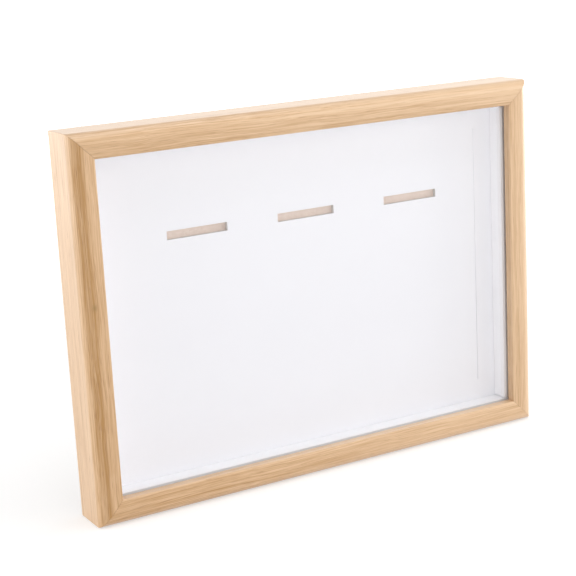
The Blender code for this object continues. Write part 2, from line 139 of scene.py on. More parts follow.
class Nodes:
    """A node tree and short ways to fill it."""

    def __init__(self, tree: bpy.types.NodeTree) -> None:
        """Start with a tree and its first nodes."""
        self.tree = tree

    def feed(self, socket: bpy.types.NodeSocket, value: Any) -> None:
        """Set a socket to a value, or link another socket to it.

        Args:
            socket: the input.
            value: a number, a vector, a colour or a socket.
        """
        if isinstance(value, bpy.types.NodeSocket):
            self.tree.links.new(value, socket)
        elif socket.type == "RGBA":
            socket.default_value = (*value, 1.0)
        else:
            socket.default_value = value

    def add(self, kind: str, *values: Any, **settings: Any) -> bpy.types.Node:
        """Add a node.

        Args:
            kind: the node's type, without the words that every type starts with.
            values: what its first inputs take.
            settings: properties to set on it.

        Returns:
            The node.
        """
        node = self.tree.nodes.new("ShaderNode" + kind)
        for key, value in settings.items():
            setattr(node, key, value)
        for socket, value in zip(node.inputs, values):
            self.feed(socket, value)
        return node

    def calc(self, operation: str, *values: Any) -> Any:
        """Return a Math node's output for some numbers or sockets."""
        return self.add("Math", *values, operation=operation).outputs[0]

    def pick(self, rays: Sequence[str], others: Any, chosen: Any, output: str) -> None:
        """End the tree with one shader for some kinds of ray and another for the rest.

        Args:
            rays: the kinds, as the Light Path node names them.
            others, chosen: the shaders' outputs for the rest and for these.
            output: the name of the tree's last node.
        """
        path, share = self.add("LightPath"), 0.0
        for ray in rays:
            share = self.calc("MAXIMUM", share, path.outputs["Is %s Ray" % ray])
        picked = self.add("MixShader", share, others, chosen)
        self.feed(self.tree.nodes[output].inputs[0], picked.outputs[0])


class Finish(Nodes):
    """A material's nodes, laid out by the finishes below."""

    def __init__(self, name: str) -> None:
        """Start a material with a Principled shader.

        Args:
            name: the material's name.
        """
        self.material = bpy.data.materials.new(name)
        self.material.use_nodes = True
        super().__init__(self.material.node_tree)
        self.shader = self.tree.nodes["Principled BSDF"]
        self.place = self.add("TexCoord").outputs["Object"]

    def split(self) -> Sequence[Any]:
        """Return the three numbers of a place on the surface."""
        return self.add("SeparateXYZ", self.place).outputs[:3]

    def join(self, x: Any, y: Any, z: Any) -> Any:
        """Return a vector of three numbers or sockets."""
        return self.add("CombineXYZ", x, y, z).outputs[0]

    def noise(
        self, scale: float | Point, detail: float = 2.0, rough: float = 0.5, vector: Any = None
    ) -> Any:
        """Return a noise texture's value.

        Args:
            scale: features per metre, in all directions or in each.
            detail, rough: how many finer layers it has, and how strong they are.
            vector: where the noise is read, in place of the surface.

        Returns:
            The output socket, about 0.5 on average.
        """
        vector = vector or self.place
        if isinstance(scale, tuple):
            vector = self.add("VectorMath", vector, scale, operation="MULTIPLY").outputs[0]
            scale = 1.0
        node = self.add("TexNoise", vector)
        node.inputs["Scale"].default_value = scale
        node.inputs["Detail"].default_value = detail
        node.inputs["Roughness"].default_value = rough
        return node.outputs[0]

    def span(
        self, value: Any, low: float, high: float, to_low: float = 0.0, to_high: float = 1.0
    ) -> Any:
        """Return a value carried from one range to another and kept inside it."""
        return self.add("MapRange", value, low, high, to_low, to_high).outputs[0]

    def spot(self, *spans: tuple[Any, float, float]) -> Any:
        """Return a soft spot, 1 at its middle and near 0 past its rim.

        Args:
            spans: a socket with the spot's middle and width along it, one for each direction.

        Returns:
            The output socket.
        """
        spread: Any = 0.0
        for value, middle, width in spans:
            off = self.calc("DIVIDE", self.calc("SUBTRACT", value, middle), width / 2)
            spread = self.calc("MULTIPLY_ADD", off, off, spread)
        return self.calc("POWER", math.e, self.calc("MULTIPLY", spread, -1.0))

    def mix(self, share: Any, first: Any, second: Any) -> Any:
        """Return two colours mixed.

        Args:
            share: how much of the second colour.
            first, second: colours or sockets.

        Returns:
            The output socket.
        """
        node = self.add("Mix", share, data_type="RGBA")
        self.feed(node.inputs[6], first)
        self.feed(node.inputs[7], second)
        return node.outputs[2]

    def bump(self, height: Any, strength: float, distance: float) -> Any:
        """Return a bumped normal.

        Args:
            height: the socket that raises the surface.
            strength: how much of the bump shows.
            distance: the height of a full step, in metres.

        Returns:
            The output socket.
        """
        node = self.add("Bump", strength, distance)
        self.feed(node.inputs["Height"], height)
        return node.outputs[0]

    def set(self, **values: Any) -> Material:
        """Feed the shader's sockets.

        Args:
            values: what each takes, under its name with underscores for spaces.

        Returns:
            The material.
        """
        for key, value in values.items():
            self.feed(self.shader.inputs[key.replace("_", " ")], value)
        return self.material


@dataclass(frozen=True)
class Mark:
    """A streak along a rail, or a pin knot in it; some streaks are painted light.

    Attributes:
        place, width: how far it lies from the rail's outer side, and how wide it is.
        strength: how much darker it is, below zero where it is paler.
        along, run: where a knot lies along the rail, and how long it is.
    """

    place: float
    width: float
    strength: float
    along: float = 0.0
    run: float = 0.0


@dataclass(frozen=True)
class Figure:
    """What sets one rail's grain apart, and the painted light that some rails carry.

    Attributes:
        seed: moves the grain so that no two rails match.
        tone: how deep the rail's colour is, from 0 to 1.
        drift: how much deeper it gets in a metre along the rail.
        streaks, knots: the rail's streaks, some of them painted light, and its pin knots.
    """

    seed: float
    tone: float
    drift: float
    streaks: tuple[Mark, ...]
    knots: tuple[Mark, ...] = ()


@dataclass(frozen=True)
class OakFinish:
    """Straight-grained oak under a satin lacquer.

    Attributes:
        pale, middle, deep: the wood's colours from its early to its late growth.
        middle_place: where the middle colour lies between the other two.
        pore, knot: the colours of its pores and of a pin knot.
        layers: for its rings, strands and fibres, how many a metre has along and across the
            rail, their noise's detail and roughness, where it is cut off, and their depth.
        sway_scale, sway: how often the grain sways in each direction, and how far.
        pore_scale, pore_share: pores per metre, and how much of their colour shows.
        relief: the height of the fibres.
    """

    pale: Colour = paint(226, 191, 152)
    middle: Colour = paint(206, 167, 124)
    deep: Colour = paint(173, 126, 63)
    middle_place: float = 0.45
    pore: Colour = paint(146, 101, 61)
    knot: Colour = paint(146, 112, 55)
    layers: tuple[tuple[float, ...], ...] = (
        (4.0, 300.0, 3.0, 0.6, 0.32, 0.14), (15.0, 1300.0, 2.0, 0.55, 0.32, 0.20),
        (40.0, 2600.0, 2.0, 0.6, 0.30, 0.22))
    sway_scale: Point = (14.0, 40.0, 40.0)
    sway: float = 0.0030
    pore_scale: Point = (110.0, 2700.0, 2700.0)
    pore_share: float = 0.55
    relief: float = 0.00010

    def dress(self, side: Side, figure: Figure) -> Material:
        """Make one rail's oak, its grain along the rail.

        Args:
            side: the rail's side.
            figure: what sets its grain apart, with its painted light.

        Returns:
            The material.
        """
        finish = Finish("oak_" + side.lower)
        calc = finish.calc
        x, y, z = finish.split()
        depth = calc("SUBTRACT", y, FRONT_Y)
        if side.lies_flat:
            along, level, outer = x, z, OUTER_HEIGHT if side is Side.TOP else 0.0
        else:
            along, level, outer = z, x, side.way * OUTER_WIDTH / 2
        across = calc("ABSOLUTE", calc("SUBTRACT", level, outer))
        shifted = calc("ADD", along, figure.seed)
        straight = finish.join(shifted, across, depth)
        waves = finish.noise(self.sway_scale, vector=straight)
        drift = calc("MULTIPLY", calc("SUBTRACT", waves, 0.5), self.sway)
        swayed = calc("ADD", across, drift)
        grain = finish.join(shifted, swayed, calc("ADD", depth, drift))
        tone = calc("MULTIPLY_ADD", along, figure.drift, figure.tone)
        for length, fineness, detail, rough, low, deep in self.layers:
            fibre = finish.noise((length, fineness, fineness), detail, rough, grain)
            tone = calc("ADD", tone, finish.span(fibre, low, 1.0 - low, -deep, deep))
        # Each streak darkens or pales the wood along the rail; on the bottom rail the paler ones
        # are painted light
        for streak in figure.streaks:
            stripe = finish.spot((swayed, streak.place, streak.width))
            tone = calc("MULTIPLY_ADD", stripe, streak.strength, tone)
        colour = finish.mix(finish.span(tone, 0.0, self.middle_place), self.pale, self.middle)
        colour = finish.mix(finish.span(tone, self.middle_place, 1.0), colour, self.deep)
        for knot in figure.knots:
            dark = finish.spot((across, knot.place, knot.width), (along, knot.along, knot.run))
            colour = finish.mix(calc("MULTIPLY", dark, knot.strength), colour, self.knot)
        flecks = finish.noise(self.pore_scale, 1.0, 0.4, grain)
        late_wood = finish.span(tone, 0.1, 0.8, 0.25)
        pores = calc("MULTIPLY", finish.span(flecks, 0.60, 0.72), late_wood)
        colour = finish.mix(calc("MULTIPLY", pores, self.pore_share), colour, self.pore)
        ridges = calc("SUBTRACT", calc("MULTIPLY", fibre, 0.4), pores)
        return finish.set(
            Base_Color=colour, Roughness=finish.span(pores, 0.0, 1.0, 0.40, 0.60),
            Coat_Weight=0.6, Coat_Roughness=0.30, Normal=finish.bump(ridges, 0.3, self.relief))


@dataclass(frozen=True)
class CardFinish:
    """Card or board with a fibrous face.

    Attributes:
        name: the material's name.
        face: its main colour.
        fleck: the colour of its fibres.
        share: how far the fibres tint it.
        roughness: how matt it is.
        fibre_scale: fibres per metre across their length.
        relief: the fibres' height.
        lying, standing: how thin the fibres along X and along Z are for their length.
        cloud_scale: clouds per metre in its colour.
    """

    name: str
    face: Colour
    fleck: Colour
    share: float
    roughness: float
    fibre_scale: float
    relief: float
    lying: float = 0.2
    standing: float = 0.25
    cloud_scale: float = 24.0

    def dress(self) -> Material:
        """Make the material.

        Returns:
            The material.
        """
        finish, fine = Finish(self.name), self.fibre_scale
        cloud = finish.noise(self.cloud_scale, detail=3.0)
        lengthwise = finish.noise((fine * self.lying, fine, fine), detail=3.0)
        crosswise = finish.noise((fine, fine, fine * self.standing), detail=3.0)
        fibres = finish.calc("MULTIPLY", lengthwise, crosswise)
        tint = finish.calc(
            "ADD", finish.span(fibres, 0.18, 0.36, 0.0, 0.8),
            finish.span(cloud, 0.35, 0.65, 0.0, 0.2))
        colour = finish.mix(finish.calc("MULTIPLY", tint, self.share), self.face, self.fleck)
        rough = finish.span(fibres, 0.15, 0.4, self.roughness, self.roughness - 0.08)
        return finish.set(
            Base_Color=colour, Roughness=rough, Normal=finish.bump(fibres, 0.5, self.relief))


@dataclass(frozen=True)
class MottledFinish:
    """Plastic, metal or rubber that is mottled, with fine marks on its skin.

    Attributes:
        name: the material's name.
        face, mottle: its two colours.
        roughness: how blurred its shine is in each.
        spread: from where to where the noise turns to the second colour, and how much it does.
        noise: mottles per metre, and the noise's detail and roughness.
        mark_scale: marks per metre, in all directions or in each.
        bump: how much of the marks shows, and their height.
        scuff: how much the marks blur its shine.
        metallic: 1 for a metal.
    """

    name: str
    face: Colour
    mottle: Colour
    roughness: tuple[float, float]
    spread: Point
    noise: Point
    mark_scale: float | Point
    bump: tuple[float, float]
    scuff: float = 0.0
    metallic: float = 0.0

    def dress(self) -> Material:
        """Make the material.

        Returns:
            The material.
        """
        finish = Finish(self.name)
        mottles = finish.noise(*self.noise)
        marks = finish.noise(self.mark_scale)
        low, high, most = self.spread
        blur = finish.span(mottles, 0.3, 0.7, *self.roughness)
        colour = finish.mix(finish.span(mottles, low, high, 0.0, most), self.face, self.mottle)
        return finish.set(
            Base_Color=colour, Metallic=self.metallic, Normal=finish.bump(marks, *self.bump),
            Roughness=finish.calc("ADD", blur, finish.span(marks, 0.6, 0.75, 0.0, self.scuff)))


@dataclass(frozen=True)
class GlassFinish:
    """Clear glazing that lets lamps through to what it covers.

    Attributes:
        tint: its colour where it is looked through.
        passed: the light that it lets through.
        index: how strongly it bends light.
        dust_scale, dust: patches of dust per metre, and how far they blur it.
    """

    tint: Colour = (0.992, 0.993, 0.996)
    passed: Colour = (0.966, 0.968, 0.974)
    index: float = 1.5
    dust_scale: float = 90.0
    dust: float = 0.012

    def dress(self) -> Material:
        """Make the material.

        Returns:
            The material.
        """
        finish = Finish("clear_glass")
        patches = finish.noise(self.dust_scale, detail=3.0)
        finish.set(
            Base_Color=self.tint, Transmission_Weight=1.0, IOR=self.index,
            Roughness=finish.span(patches, 0.35, 0.75, 0.0, self.dust))
        clear = finish.add("BsdfTransparent", self.passed)
        shader = finish.shader.outputs[0]
        finish.pick(("Shadow", "Diffuse"), shader, clear.outputs[0], "Material Output")
        return finish.material


KRAFT = CardFinish(
    "kraft_card", paint(243, 223, 209), paint(223, 199, 181), 0.6, 0.9, 1300.0, 0.00004)
FIBREBOARD = CardFinish(
    "fibreboard", paint(164, 130, 98), paint(128, 96, 68), 0.55, 0.72, 2100.0, 0.00003)
WHITE_CARD = CardFinish(
    "white_card", paint(247, 246, 249), paint(239, 238, 242), 0.35, 0.8, 2600.0, 0.000012)
CARD_CORE = CardFinish(
    "card_core", paint(214, 210, 206), paint(186, 180, 175), 0.6, 0.9, 2200.0, 0.00005)
# What the two plastics share, and the two platings, in the order of the fields above
PLASTIC = ((0.38, 0.48), (0.35, 0.7, 0.6), (60.0, 2.0, 0.5), 3200.0, (0.25, 0.00002))
SPACER_WHITE = MottledFinish(
    "white_plastic", paint(250, 249, 251), paint(244.42, 243.44, 245.40), *PLASTIC)
# The same white plastic, painted a little darker for the bottom strip alone: painted shade on its
# upward face
SPACER_PAINTED_SHADE = MottledFinish(
    "white_plastic_shaded", paint(245, 245, 247), paint(239.52, 239.52, 241.48), *PLASTIC)
PLATING = ((0.35, 0.65, 1.0), (700.0, 4.0, 0.6), (900.0, 900.0, 5200.0), (0.3, 0.00001), 0.1, 1.0)
ZINC = MottledFinish(
    "zinc_steel", paint(186, 188, 191), paint(148, 151, 155), (0.26, 0.40), *PLATING)
PLATED = MottledFinish(
    "screw_steel", paint(198, 182, 140), paint(160, 143, 100), (0.22, 0.36), *PLATING)
RUBBER = MottledFinish(
    "black_rubber", (0.022, 0.022, 0.023), (0.060, 0.060, 0.062), (0.62, 0.85),
    (0.4, 0.75, 1.0), (420.0, 4.0, 0.5), 5200.0, (0.35, 0.00003))

# Marks below zero pale the wood. The bottom rail's two paler streaks, along its outer side and
# along its sight edge, are painted light: a brighter lower shoulder and a lit lip
FIGURES = {
    Side.TOP: Figure(1.7, 0.22, -0.9, (Mark(0.0135, 0.004, 0.22), Mark(0.0, 0.003, 0.05))),
    Side.BOTTOM: Figure(5.3, 0.37, -1.3, (
        Mark(0.0, 0.0050, -0.40), Mark(0.0070, 0.002, 0.12), Mark(0.0156, 0.0024, -0.24))),
    Side.LEFT: Figure(9.1, 0.48, 0.0, (
        Mark(0.0, 0.0032, -0.12), Mark(0.0030, 0.003, 0.2), Mark(0.0060, 0.0042, 0.45)),
        (Mark(0.0071, 0.0028, 0.75, 0.1313, 0.0042),)),
    Side.RIGHT: Figure(13.9, 0.18, 0.0, (
        Mark(0.0045, 0.0045, -0.15), Mark(0.0125, 0.003, 0.08))),
}


def show(name: str, data: Any) -> bpy.types.Object:
    """Put a shape, a lamp or a camera in the scene.

    Args:
        name: the object's name.
        data: a bmesh, which is freed, or an object's data.

    Returns:
        The object.
    """
    if isinstance(data, Shape):
        bm, data = data, bpy.data.meshes.new(name)
        bm.to_mesh(data)
        bm.free()
    shown = bpy.data.objects.new(name, data)
    bpy.context.scene.collection.objects.link(shown)
    return shown


def moved(bm: Shape, matrix: Matrix) -> Shape:
    """Move a bmesh and return it."""
    bmesh.ops.transform(bm, matrix=matrix, verts=bm.verts)
    return bm


def weld(bm: Shape) -> None:
    """Join the points that meet and turn the faces outwards."""
    bmesh.ops.remove_doubles(bm, verts=bm.verts, dist=WELD)
    bmesh.ops.recalc_face_normals(bm, faces=bm.faces)


def points_in(geometry: Sequence[Any]) -> list[bmesh.types.BMVert]:
    """Return the points in what a bmesh operator gives back."""
    return [item for item in geometry if isinstance(item, bmesh.types.BMVert)]


def steeper(degrees: float) -> Test:
    """Return a test for edges whose faces meet at more than an angle."""
    return lambda edge: edge.calc_face_angle(0.0) > math.radians(degrees)


def lengthwise_at(x: float, y: float) -> Test:
    """Return a test for a bar's long edge at a corner of its section."""
    return lambda edge: all(
        abs(vert.co.x - x) < NEAR and abs(vert.co.y - y) < NEAR for vert in edge.verts)


def keep(
    bm: Shape, name: str, node: str, finishes: Sequence[Material],
    body: str = "frame", sharp: float = CRISP,
) -> None:
    """Turn a bmesh into a piece that stands for a CAD node.

    Args:
        bm: the shape, in place; it is freed.
        name: the piece's name.
        node: the CAD node that it replaces.
        finishes: its materials.
        body: the body that it moves with.
        sharp: edges steeper than this many degrees stay crisp.
    """
    weld(bm)
    piece = show(name, bm)
    for finish in finishes:
        piece.data.materials.append(finish)
    piece.data.shade_smooth()
    piece.data.set_sharp_from_angle(angle=math.radians(sharp))
    weighted = piece.modifiers.new("flat_faces", "WEIGHTED_NORMAL")
    weighted.mode = "FACE_AREA"
    weighted.weight = 100
    weighted.keep_sharp = True
    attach(piece, body)
    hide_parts(node)
    LOG.info("%s: %d faces, rides on %s", name, len(piece.data.polygons), body)


def bar(section: Outline, run: float) -> Shape:
    """Return a bar along Z whose ends are square.

    Args:
        section: its corners, X inwards and Y backwards.
        run: its length.

    Returns:
        The bar.
    """
    bm = bmesh.new()
    bm.faces.new([bm.verts.new((x, y, -run / 2)) for x, y in section])
    end = points_in(bmesh.ops.extrude_face_region(bm, geom=bm.faces[:])["geom"])
    bmesh.ops.translate(bm, vec=(0.0, 0.0, run), verts=end)
    weld(bm)
    return bm


def cut_along(bm: Shape, place: Point, normal: Point, drop: bool = False) -> None:
    """Cut a bmesh along a plane.

    Args:
        bm: the shape.
        place, normal: the plane.
        drop: whether the part that the normal points to goes.
    """
    bmesh.ops.bisect_plane(
        bm, geom=bm.verts[:] + bm.edges[:] + bm.faces[:], dist=SNAP, plane_co=place,
        plane_no=normal, clear_outer=drop)


def mitre(bm: Shape, run: float, gap: float) -> None:
    """Cut a bar's two ends at 45 degrees, longest at its outer side.

    Args:
        bm: the bar.
        run: its length at the outer side.
        gap: the joint's width.
    """
    end = run / 2 - gap / 2 * math.sqrt(2)
    for way in (1, -1):
        cut_along(bm, (0.0, 0.0, way * end), (1.0, 0.0, way), drop=True)
        rim = [edge for edge in bm.edges if edge.is_boundary]
        bmesh.ops.holes_fill(bm, edges=rim, sides=0)
    weld(bm)


def soften(bm: Shape, width: float, steps: int = 2, choose: Test = steeper(40)) -> None:
    """Bevel the edges of a bmesh.

    Args:
        bm: the shape.
        width: the bevel's width.
        steps: its steps.
        choose: picks the edges.
    """
    bmesh.ops.bevel(
        bm, geom=[edge for edge in bm.edges if choose(edge)], offset=width, segments=steps,
        profile=0.5, affect="EDGES", material=-1)


def rod(
    radius: float, length: float, middle: Point = (0.0, 0.0, 0.0),
    beside: Optional[Shape] = None,
) -> Shape:
    """Return a closed rod along Z.

    Args:
        radius, length: its size.
        middle: its middle.
        beside: a bmesh that it joins, in place of a new one.

    Returns:
        The rod.
    """
    bm = bmesh.new() if beside is None else beside
    bmesh.ops.create_cone(
        bm, cap_ends=True, segments=TURN_STEPS, radius1=radius, radius2=radius, depth=length,
        matrix=Matrix.Translation(middle))
    return bm


def lathe(outline: Outline) -> Shape:
    """Return a closed body turned about Z.

    Args:
        outline: its radii and heights, from one point on the axis to another.

    Returns:
        The body.
    """
    bm = bmesh.new()
    spots = [bm.verts.new((radius, 0.0, height)) for radius, height in outline]
    lines = [bm.edges.new(pair) for pair in zip(spots, spots[1:])]
    bmesh.ops.spin(
        bm, geom=[*spots, *lines], axis=(0.0, 0.0, 1.0), angle=2 * math.pi, steps=TURN_STEPS,
        use_merge=True)
    weld(bm)
    return bm


def carve(bm: Shape, tools: Sequence[Shape]) -> Shape:
    """Cut shapes out of a bmesh.

    Args:
        bm: the shape; it is freed.
        tools: what is cut away; they are freed.

    Returns:
        The cut shape.
    """
    body, *cutters = [show("carving", shape) for shape in (bm, *tools)]
    for cutter in cutters:
        cut = body.modifiers.new("cut", "BOOLEAN")
        cut.operation = "DIFFERENCE"
        cut.object = cutter
        cut.solver = "EXACT"
    bpy.context.view_layer.update()
    carved = body.evaluated_get(bpy.context.evaluated_depsgraph_get())
    result = bmesh.new()
    result.from_mesh(carved.to_mesh())
    carved.to_mesh_clear()
    for holder in (body, *cutters):
        bpy.data.meshes.remove(holder.data, do_unlink=True)
    return result


@dataclass
class OakFrame:
    """The four mitred rails and the nails across their mitres."""

    wall: float = 0.009
    width: float = 0.0151
    shoulder: float = 0.0065
    shoulder_steps: int = 20
    fall: float = 0.001158
    crown_steps: int = 8
    lip_back: float = 0.0067
    lip_round: float = 0.0001
    sight_round: float = 0.0006
    sight_steps: int = 5
    back_round: float = 0.0006
    back_steps: int = 4
    rebate_round: float = 0.0002
    between_rounds: float = 0.00002
    mitre_gap: float = 0.00006
    mitre_arris: float = 0.00010
    nail_leg: float = 0.003
    nail_thickness: float = 0.0008
    nail_length: float = 0.010
    nail_shift: float = 0.0008
    nail_setback: float = 0.0002
    nail_gap: float = 0.0002
    nail_arris: float = 0.00006
    nail_half_angle: float = math.radians(50)

    def rail(self, side: Side) -> Shape:
        """Return one rail in place, without its nail pockets.

        Args:
            side: the rail's side.

        Returns:
            The rail.
        """
        run = OUTER_WIDTH if side.lies_flat else OUTER_HEIGHT
        knee = (self.shoulder + self.width - self.sight_round) / 2
        bm = bar([
            (0.0, 0.0), (knee, 0.0), (self.width, self.fall), (self.width, self.lip_back),
            (self.wall, self.lip_back), (self.wall, RAIL_DEPTH), (0.0, RAIL_DEPTH),
        ], run * SPARE)
        # Each round's corner in the section, its width and its steps
        rounds = (
            (knee, 0.0, knee - self.shoulder - self.between_rounds, self.crown_steps),
            (0.0, 0.0, self.shoulder - self.between_rounds, self.shoulder_steps),
            (self.width, self.fall, self.sight_round, self.sight_steps),
            (0.0, RAIL_DEPTH, self.back_round, self.back_steps),
            (self.width, self.lip_back, self.lip_round, 2),
            (self.wall, RAIL_DEPTH, self.rebate_round, 2),
        )
        for x, y, width, steps in rounds:
            soften(bm, width, steps, lengthwise_at(x, y))
        mitre(bm, run, self.mitre_gap)
        rims = {edge for face in bm.faces if abs(face.normal.z) > 0.5 for edge in face.edges}
        soften(bm, self.mitre_arris, choose=lambda edge: edge in rims)
        return moved(bm, side.matrix(OUTER_WIDTH, OUTER_HEIGHT, 0.0))

    def nail(self, grown: float, length: float) -> Shape:
        """Return a V nail along Z, its point at the origin and its legs towards -X.

        Args:
            grown: how much bigger than the nail it is on every side.
            length: its length.

        Returns:
            The nail.
        """
        half = self.nail_half_angle
        thickness = self.nail_thickness + 2 * grown
        tip = thickness / 2 / math.sin(half)
        end = Vector((-math.cos(half), math.sin(half))) * (self.nail_leg + grown)
        across = Vector((math.sin(half), math.cos(half))) * thickness / 2
        outer, inner = end + across, end - across
        return bar([
            (tip, 0.0), (outer.x, outer.y), (inner.x, inner.y), (-tip, 0.0),
            (inner.x, -inner.y), (outer.x, -outer.y),
        ], length)

    def corner(self, row: Side, end: Side) -> Matrix:
        """Return the place of a nail's mouth at a corner, its length along Y.

        Args:
            row: the corner's bottom or top.
            end: its left or right.

        Returns:
            The matrix that takes a nail to it.
        """
        inset = self.wall / 2 + self.nail_shift
        x = (OUTER_WIDTH / 2 - inset) * end.way
        z = OUTER_HEIGHT - inset if row is Side.TOP else inset
        turn = Matrix.Rotation(math.radians(row.way * (90 + 45 * end.way)), 4, "Y")
        upright = turn @ Matrix.Rotation(QUARTER_TURN, 4, "X")
        return Matrix.Translation((x, FRONT_Y + RAIL_DEPTH, z)) @ upright

    def build(self, zinc: Material) -> None:
        """Make the rails and their nails.

        Args:
            zinc: the nails' finish.
        """
        oak = OakFinish()
        pocket_length = 2 * (self.nail_setback + self.nail_length + self.nail_gap)
        for side, figure in FIGURES.items():
            pockets = [
                moved(self.nail(self.nail_gap, pocket_length), self.corner(*corner))
                for corner in CORNERS if side in corner]
            keep(
                carve(self.rail(side), pockets), "oak_rail_" + side.lower,
                "rail_" + side.lower, [oak.dress(side, figure)], sharp=CRISP_FLAT)
        sink = Matrix.Translation((0.0, -(self.nail_setback + self.nail_length / 2), 0.0))
        for row, end in CORNERS:
            bm = self.nail(0.0, self.nail_length)
            soften(bm, self.nail_arris, 1)
            name = "%s_%s" % (row.lower, end.lower)
            keep(
                moved(bm, sink @ self.corner(row, end)), "v_nail_" + name, "corner_nail_" + name,
                [zinc])


@dataclass
class Interior:
    """What the frame holds: the glazing, the spacer, the mat, the filler and the back."""

    insert_width: float = 0.297
    insert_height: float = 0.210
    spacer_front: float = 0.0090
    spacer_depth: float = 0.0109
    row_width: float = 0.0065
    side_width: float = 0.0078
    butt_gap: float = 0.0003
    spacer_wall: float = 0.0021
    spacer_step: float = 0.0022
    spacer_arris: float = 0.00015
    mat_front: float = 0.020
    mat_thickness: float = 0.0025
    mat_arris: float = 0.00012
    slot_length: float = 0.0398
    slot_height: float = 0.0052
    slot_places: tuple[float, ...] = (-0.0749, -0.0006, 0.0764)
    slot_centre: float = 0.1612
    score_x: float = 0.1271
    score_low: float = 0.0296
    score_high: float = 0.1994
    score_width: float = 0.0005
    score_depth: float = 0.0008
    score_top_depth: float = 0.0003

    def spacer(self, side: Side) -> Shape:
        """Return one spacer strip in place; the side strips end at the rows.

        Args:
            side: the strip's side.

        Returns:
            The strip.
        """
        width, run = self.row_width, self.insert_width
        if not side.lies_flat:
            width, run = self.side_width, self.insert_height - 2 * (self.row_width + self.butt_gap)
        inner = width - self.spacer_wall
        bm = bar([
            (inner, 0.0), (width, 0.0), (width, self.spacer_depth), (0.0, self.spacer_depth),
            (0.0, self.spacer_step), (inner, self.spacer_step),
        ], run)
        soften(bm, self.spacer_arris)
        return moved(bm, side.matrix(self.insert_width, self.insert_height, self.spacer_front))

    def mat(self) -> Shape:
        """Return the mat with its three slots and its scored line, in place.

        Returns:
            The mat; its slots' walls have its second material.
        """
        back_y = FRONT_Y + self.mat_front + self.mat_thickness
        across, up = self.insert_width / 2, self.insert_height / 2
        bm = bmesh.new()
        bm.faces.new([
            bm.verts.new((x * across, back_y, OUTER_HEIGHT / 2 + z * up))
            for x, z in ((-1, -1), (1, -1), (1, 1), (-1, 1))])
        slots = [(x - self.slot_length / 2, x + self.slot_length / 2) for x in self.slot_places]
        row = (self.slot_centre - self.slot_height / 2, self.slot_centre + self.slot_height / 2)
        score = (self.score_x - self.score_width / 2, self.score_x + self.score_width / 2)
        score_run = (self.score_low, self.score_high)
        for pair in (*slots, score):
            for x in pair:
                cut_along(bm, (x, 0.0, 0.0), (1.0, 0.0, 0.0))
        for z in (*row, *score_run):
            cut_along(bm, (0.0, 0.0, z), (0.0, 0.0, 1.0))

        def inside(
            face: bmesh.types.BMFace, across: tuple[float, float], up: tuple[float, float]
        ) -> bool:
            """Whether a face's middle lies in a rectangle or on its rim."""
            middle, rim = face.calc_center_median(), self.mat_arris
            return (across[0] - rim < middle.x < across[1] + rim
                    and up[0] - rim < middle.z < up[1] + rim)

        holes = [face for face in bm.faces if any(inside(face, slot, row) for slot in slots)]
        bmesh.ops.delete(bm, geom=holes, context="FACES")
        front = points_in(bmesh.ops.extrude_face_region(bm, geom=bm.faces[:])["geom"])
        bmesh.ops.translate(bm, vec=(0.0, -self.mat_thickness, 0.0), verts=front)
        weld(bm)
        groove = [
            face for face in bm.faces if face.normal.y < -0.5 and inside(face, score, score_run)]
        for vert in points_in(bmesh.ops.extrude_face_region(bm, geom=groove)["geom"]):
            share = (vert.co.z - self.score_low) / (self.score_high - self.score_low)
            vert.co.y += self.score_depth + (self.score_top_depth - self.score_depth) * share
        left = [face for face in groove if face.is_valid]
        bmesh.ops.delete(bm, geom=left, context="FACES_ONLY")
        soften(bm, self.mat_arris, choose=steeper(60))
        for face in bm.faces:
            if abs(face.normal.y) < 0.3 and any(inside(face, slot, row) for slot in slots):
                face.material_index = 1
        return bm

    def build(self) -> None:
        """Make the spacer and the mat, and dress the CAD sheets that stay."""
        white, painted_shade = SPACER_WHITE.dress(), SPACER_PAINTED_SHADE.dress()
        # The bottom strip takes the darker white, which is painted shade
        for side in Side:
            keep(
                self.spacer(side), "spacer_strip_" + side.lower, "spacer_" + side.lower,
                [painted_shade if side is Side.BOTTOM else white])
        keep(
            self.mat(), "slotted_mat", "mat_board",
            [WHITE_CARD.dress(), CARD_CORE.dress()], sharp=CRISP_FLAT)
        sheets = {
            "glazing_sheet": GlassFinish(), "filler_board": KRAFT, "backing_board": FIBREBOARD}
        for node, finish in sheets.items():
            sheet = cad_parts[node]
            sheet.data.materials.clear()
            sheet.data.materials.append(finish.dress())
            LOG.info("%s: dressed", node)


def on_back(x: float, depth: float, z: float, turn: float = 0.0) -> Matrix:
    """Return a place on the back, local Z out of the back and local X turned by degrees."""
    out = Matrix.Rotation(math.radians(turn), 4, "Y") @ Matrix.Rotation(-QUARTER_TURN, 4, "X")
    return Matrix.Translation((x, FRONT_Y + depth, z)) @ out


@dataclass(frozen=True)
class Fitting:
    """A piece of hardware that comes more than once.

    Attributes:
        shape: its shape at the origin.
        piece, node: how the names of its pieces and of the nodes that they replace start.
        slot: the record's material slot; it is not used.
        finish: its material.
        moves: whether it rides on a body of its own, which has the node's name.
    """

    shape: Shape
    piece: str
    node: str
    slot: str
    finish: Material
    moves: bool = False


